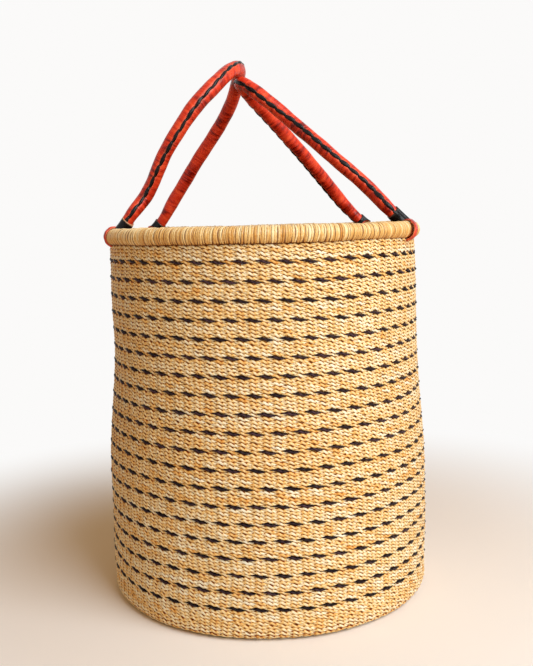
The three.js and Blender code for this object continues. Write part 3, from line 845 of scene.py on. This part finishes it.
def leather(name, bright, middle, crease, roughness, sheen, raw_edge="#D9A377"):
    """Goat skin, dyed with plants, dried in lumps and cross wrinkles and smoothed by hands.

    The dye is uneven over a few centimetres. The wrinkles lie 2 to 4 mm apart and run less
    than half the way round, and the colour is painted deeper in their creases as shade. A cut
    edge shows the undyed middle of the skin, and the gloss varies with the dye.
    """
    material, tree, shader = new_material(name)
    place = add_node(tree, "TexCoord")
    uv = add_node(tree, "UVMap", uv_map="along")
    raw = add_node(tree, "Attribute", attribute_name="raw")
    stretch = add_node(tree, "Mapping", {"Vector": uv.outputs["UV"], "Scale": WRINKLES})
    wrinkles = add_node(tree, "TexNoise", {"Vector": stretch.outputs[0], "Scale": 1.0, "Detail": 1.5,
                                           "Roughness": 0.45, "Distortion": 0.6})
    grain = add_node(tree, "TexNoise", {"Vector": place.outputs["Object"], "Scale": GRAIN_PER_METRE,
                                        "Detail": 2.0})
    cloud = add_node(tree, "TexNoise", {"Vector": place.outputs["Object"], "Scale": CLOUDS_PER_METRE,
                                        "Detail": 2.0, "Roughness": 0.45})
    # painted shade: the creases of the wrinkles are darker in colour
    painted_crease_shade = add_node(tree, "Math", {0: wrinkles.outputs["Fac"], 1: WRINKLE_SHARE, 2: WRINKLE_SHIFT},
                     operation="MULTIPLY_ADD")
    shade = add_node(tree, "Math", {0: cloud.outputs["Fac"], 1: CLOUD_SHARE, 2: painted_crease_shade.outputs[0]},
                     operation="MULTIPLY_ADD")
    ramp = add_node(tree, "ValToRGB", {0: shade.outputs[0]})
    stops = ramp.color_ramp.elements
    stops[0].position, stops[0].color = 0.25, paint(crease)
    stops[1].position, stops[1].color = 0.78, paint(bright)
    stops.new(0.5).color = paint(middle)
    colour = add_node(tree, "Mix", {0: raw.outputs["Fac"], 6: ramp.outputs[0], 7: paint(raw_edge)},
                      data_type="RGBA")
    tree.links.new(colour.outputs[2], shader.inputs["Base Color"])
    relief = add_node(tree, "Math", {0: grain.outputs["Fac"], 1: GRAIN_RELIEF,
                                     2: wrinkles.outputs["Fac"]}, operation="MULTIPLY_ADD")
    bump = add_node(tree, "Bump", {"Height": relief.outputs[0], "Strength": 0.7, "Distance": 1.1 * MM})
    tree.links.new(bump.outputs[0], shader.inputs["Normal"])
    gloss = add_node(tree, "MapRange", {"Value": cloud.outputs["Fac"], "From Min": 0.3, "From Max": 0.7,
                                        "To Min": roughness - 0.08, "To Max": roughness + 0.12})
    tree.links.new(gloss.outputs[0], shader.inputs["Roughness"])
    shader.inputs["Specular IOR Level"].default_value = sheen
    return material


# the crease colour is both the deepest dye and the painted shade in the wrinkles' creases
red_leather = leather("red_goat_leather", "#F4562C", "#D6361A", "#7C0C03", 0.36, 0.28)
black_leather = leather("black_goat_leather", "#201B1B", "#100D0D", "#040303", 0.24, 0.2)

LUMP_WAVES = (  # mm along the handle for a radian, size in mm, waves round it, and start
    (11.3, 0.2, 1, 0.3), (6.1, 0.14, 2, 2.2), (23.0, 0.3, 1, 4.0), (3.4, 0.06, 3, 1.0),
)
LUMPS_PRESSED = 0.9  # share of the lumps that a collar presses flat
GROOVE_DEPTH = 0.9  # the seam, in mm deep and radians wide
GROOVE_WIDTH = 0.2
EDGE_HEIGHT = 0.35  # the cover's two edges, which stand up on both sides of it
EDGE_PLACE = 0.42
EDGE_WIDTH = 0.16
RAW_SHARE = 0.35  # how much of the undyed skin their cut shows
RAW_PLACE = 0.24
RAW_WIDTH = 0.06
SKIN = 1.9  # thickness of the leather over the bundle of grass
CORE_RIDGE = 0.25
CORE_STEMS = 6
CORE_STRIDE = 4  # the bundle is drawn with a quarter of the cover's rings, and ends inside it

cover_corner = round_angles(COVER_CORNERS)
cos_corner, sin_corner = np.cos(cover_corner), np.sin(cover_corner)
for name, loop in LOOPS.items():
    line, walked, seam, beside = loop_line(loop, COVER_STEPS)
    lumps = sum(size * np.sin(walked[:, None] / period + start + turns * cover_corner)
                for period, size, turns, start in LUMP_WAVES)
    lumps = lumps * (1 - LUMPS_PRESSED * drawn_in(walked))[:, None]
    off_seam = (cover_corner + np.pi) % (2 * np.pi) - np.pi
    edges = (EDGE_HEIGHT * bell(np.abs(off_seam) - EDGE_PLACE, EDGE_WIDTH)
             - GROOVE_DEPTH * bell(off_seam, GROOVE_WIDTH))
    radius = cover_radius(loop, walked)[:, None] + lumps + edges
    rings = off_line(line, seam, beside, radius * cos_corner, radius * sin_corner)
    raw = RAW_SHARE * bell(np.abs(off_seam) - RAW_PLACE, RAW_WIDTH)
    cover = tube_mesh(f"{name}_cover", rings[None], {"raw": raw}, red_leather, closed=False,
                      scale_along=walked[-1] / COVER_STEPS)
    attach(cover, f"{name}_handle")
    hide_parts(f"{name}_handle_cover")

    # the bundle of grass inside, which the leather hides
    ridges = CORE_RIDGE * np.cos(CORE_STEMS * cover_corner)
    radius = (cover_radius(loop, walked) - SKIN)[:, None] + ridges
    rings = off_line(line, seam, beside, radius * cos_corner, radius * sin_corner)
    core = tube_mesh(f"{name}_grass_core", rings[None, CORE_STRIDE:-CORE_STRIDE:CORE_STRIDE], {},
                     stem_straw, closed=False)
    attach(core, f"{name}_handle")
    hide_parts(f"{name}_handle_core")


# Lacing: one black thong sewn over the seam, which draws the cover's edges together. It
# shows as a chain of flat, pointed stitches, each lying a little askew, tip to tip.
STITCHES = 36
STITCH_THICK = 1.15
STITCH_STEPS = 13
STITCH_CORNERS = 10
STITCH_ASKEW = 0.85
STITCH_OVERLAP = 0.18  # share of a stitch that runs past its neighbour's tip
STITCH_SUNK = 0.75  # how far its tips sink into the seam
STITCH_ARCH = 0.9  # how far its middle stands up from them
TIP_SHARE = 0.05  # its tips are as wide as the taper is this far in
TAPER_POWER = 0.65  # a sine to a power below one, so a stitch keeps its width and arch longer
ARCH_POWER = 0.6
STITCH_STEP = 1.2  # mm from ring to ring, for its wrinkles
WIDE_SPREAD = 0.08
ASKEW_SPREAD = 0.15

stitch_corner = round_angles(STITCH_CORNERS)
spans = STITCH_STEPS - 1
share = np.linspace(0, 1, STITCH_STEPS)
taper = np.sin(np.pi * np.clip(share, TIP_SHARE, 1 - TIP_SHARE)) ** TAPER_POWER
middle = (np.arange(STITCHES)[:, None] + 0.5) * spans
pick = np.round(middle + (share - 0.5) * spans * (1 + STITCH_OVERLAP))
pick = np.clip(pick, 0, STITCHES * spans).astype(int)
for name, loop in LOOPS.items():
    line, walked, seam, beside = loop_line(loop, STITCHES * spans + 1)
    wide = loop["thong"] * taper * (1 + chance.normal(0, WIDE_SPREAD, (STITCHES, 1)))
    askew = STITCH_ASKEW * (1 - 2 * share) + chance.normal(0, ASKEW_SPREAD, (STITCHES, 1))
    arch = STITCH_ARCH * np.sin(np.pi * share) ** ARCH_POWER
    lift = cover_radius(loop, walked)[pick] - STITCH_SUNK + arch
    outward = lift[..., None] + STITCH_THICK * taper[:, None] * np.cos(stitch_corner)
    sideways = askew[..., None] + wide[..., None] * np.sin(stitch_corner)
    rings = off_line(line[pick], seam[pick], beside[pick], outward, sideways)
    lacing = tube_mesh(f"{name}_lacing", rings, {"raw": 0.0}, black_leather, closed=False,
                       scale_along=STITCH_STEP)
    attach(lacing, f"{name}_handle")
    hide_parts(f"{name}_handle_lacing")


# Straps: at each foot a band of the same red leather goes round the rim and through the
# wall, and its ends run up into the handle. Its cut edges show the undyed skin.
STRAP_INNER = 10.3
STRAP_STEPS = 72
STRAP_CORNERS = 12
STRAP_SWELL = 0.25  # share by which it is thicker on the outside of the rim than on top
STRAP_WAVES = ((6, 0.15, 0), (11, 0.1, 1))  # waves once round, size in mm, and start
SLIP_TURN = 0.5  # radians below level, where it slips most
SWELL_TURN = 0.3  # radians above level, where it is thickest
STRAP_SIDE_POWER = 0.5  # powers below one, which square its section off
STRAP_FACE_POWER = 0.8
CUT_FROM = 0.9  # its cut edges lie past this share of its half width, and below this of its face
CUT_BELOW = 0.2
STRAP_RAW = 0.7
STRAPS = {  # half width on top and below, thickness, and how far the strap has slipped forward
    "left_near": (5.6, 4.6, 2.8, 3.5),
    "left_far": (5.6, 3.6, 2.6, 0.0),
    "right_near": (11.0, 10.5, 2.8, 25.0),
    "right_far": (5.6, 3.6, 2.6, 0.0),
}


def strap_rings(loop, end, strap):
    """A flat band carried once round the roll, and how raw its points are.

    Its half width goes from the top's to the bottom's with the sine of the turn, and it slips
    forward with the cosine, most on the outside. The section is an oblong with round corners.
    """
    centre, out, along = foot_place(loop["side"], *loop[end])
    top_half, low_half, thickness, slipped = strap
    turn = round_angles(STRAP_STEPS)
    ray = np.cos(turn)[:, None] * out + np.sin(turn)[:, None] * np.array([0.0, 0.0, 1.0])
    half = low_half + (top_half - low_half) * (1 + np.sin(turn)) / 2
    slip = -loop["side"] * slipped * (1 + np.cos(turn + SLIP_TURN)) / 2
    section = round_angles(STRAP_CORNERS, offset=0.5)
    flat = squared_off(np.cos(section), STRAP_SIDE_POWER)
    rounded = squared_off(np.sin(section), STRAP_FACE_POWER)
    thick = thickness * (1 + STRAP_SWELL * np.cos(turn - SWELL_TURN))[:, None]
    distance = STRAP_INNER + thick / 2 * (1 + rounded)
    for waves, size, start in STRAP_WAVES:
        distance = distance + size * np.sin(waves * turn + start)[:, None]
    offset = half[:, None] * flat + slip[:, None]
    raw = ((np.abs(flat) > CUT_FROM) & (rounded < CUT_BELOW)) * STRAP_RAW
    return centre + ray[:, None] * distance[..., None] + along * offset[..., None], raw


feet = [(name, loop, end) for name, loop in LOOPS.items() for end in ("near", "far")]
for name, loop, end in feet:
    rings, raw = strap_rings(loop, end, STRAPS[f"{name}_{end}"])
    strap = tube_mesh(f"{name}_{end}_strap", rings[None], {"raw": raw}, red_leather,
                      scale_along=2 * np.pi * STRAP_INNER / STRAP_STEPS)
    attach(strap, "basket")
    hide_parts(f"{name}_{end}_rim_strap")


# Collars: black goat leather wrapped round each joint of strap and handle, one edge over the
# other. A collar's foot is cut to the roll below, and above it leans with the handle's leg.
COLLAR_RADIUS = 7.5  # inside
COLLAR_THICK = 1.1
COLLAR_CORNERS = 48
COLLAR_LEVEL_SHARES = [0, 0.12, 0.3, 0.5, 0.7, 0.88, 1.0]
COLLAR_OVERLAP = 2.0  # the wrapped collar's outer edge stands out by this
COLLAR_WAVES = ((2, 0.25, 1.0), (3, 0.2, 0.4))  # waves once round, size in mm, and start
COLLAR_SPREAD = 1.6  # how much wider it is where it sits on the roll
COLLAR_SLANT = 1.4  # how far its top edge slants, and the start of that wave
SLANT_START = 0.6
COLLAR_STEP = 1.5  # mm from ring to ring, for its wrinkles
LEG_STEPS = COVER_STEPS // 8  # the stretch of the loop that a collar follows
LEAST_COLLAR = 1.5  # its least height above the roll
SADDLE_RADIUS = 10.6  # of the roll, to which its foot is cut
LEAST_SADDLE = 2  # height of the foot where it hangs past the roll's side
COLLARS = {  # how far up the foot each collar reaches, where its overlap lies, and how raw its top is
    "left_near": (27.0, 0.9, 1.0),
    "left_far": (20.0, 2.6, 0.2),
    "right_near": (30.0, 2.3, 0.1),
    "right_far": (16.5, 2.6, 0.0),
}


def collar_rings(loop, end, collar):
    """A tube round the foot of a leg, up outside and down inside, and how raw its points are.

    Its foot stands as high as the roll does at that distance from the roll's axis: the root
    of the roll's radius squared less that distance squared. It leans with the leg, and its
    radius grows once round by the overlap. Returns the leg's foot and direction as well.
    """
    centre, _, along = foot_place(loop["side"], *loop[end])
    bow = loop["foot_bow"][end == "far"]
    top, overlap_at, raw_top = collar
    across, rise, plane = loop_axes(loop)[2:]
    outside = loop["side"] * plane
    off_axis = unit(np.cross(along, rise))
    turn = round_angles(COLLAR_CORNERS)
    beside = np.cos(turn)[:, None] * across + np.sin(turn)[:, None] * outside
    profile = [(share, COLLAR_RADIUS + COLLAR_THICK) for share in COLLAR_LEVEL_SHARES]
    profile += [(share, COLLAR_RADIUS) for share in COLLAR_LEVEL_SHARES[::-1]]
    share, radius = np.array(profile).T[..., None]
    wrapped = ((turn - overlap_at) % (2 * np.pi)) / (2 * np.pi)
    puff = sum(size * np.sin(waves * turn + start) for waves, size, start in COLLAR_WAVES)
    spread = radius + (puff + COLLAR_OVERLAP * (wrapped - 0.5)) + COLLAR_SPREAD * (1 - share) ** 2
    from_roll = spread * (beside @ off_axis) + bow * float(outside @ off_axis)
    low = np.sqrt(np.clip(SADDLE_RADIUS**2 - from_roll**2, LEAST_SADDLE**2, None))
    slant = COLLAR_SLANT * np.sin(turn + SLANT_START) * share
    height = low + np.maximum(top - low, LEAST_COLLAR) * share + slant
    line = loop_line(loop, COVER_STEPS)[0]
    leg = (line if end == "near" else line[::-1])[:LEG_STEPS] - centre
    above = leg @ rise
    aside = leg - above[:, None] * rise
    leaning = np.stack([np.interp(height, above, aside[:, k]) for k in range(3)], -1)
    raw = np.zeros((len(share), 1))
    rim_at = len(COLLAR_LEVEL_SHARES)
    raw[rim_at - 1:rim_at + 1] = raw_top
    rings = centre + leaning + beside[None] * spread[..., None] + rise * height[..., None]
    return rings, raw, centre, rise


for name, loop, end in feet:
    rings, raw, foot, rise = collar_rings(loop, end, COLLARS[f"{name}_{end}"])
    collar = tube_mesh(f"{name}_{end}_collar_wrap", rings[None], {"raw": raw}, black_leather,
                       scale_along=COLLAR_STEP)
    foot = foot * MM
    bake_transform(collar)
    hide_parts(f"{name}_{end}_collar")
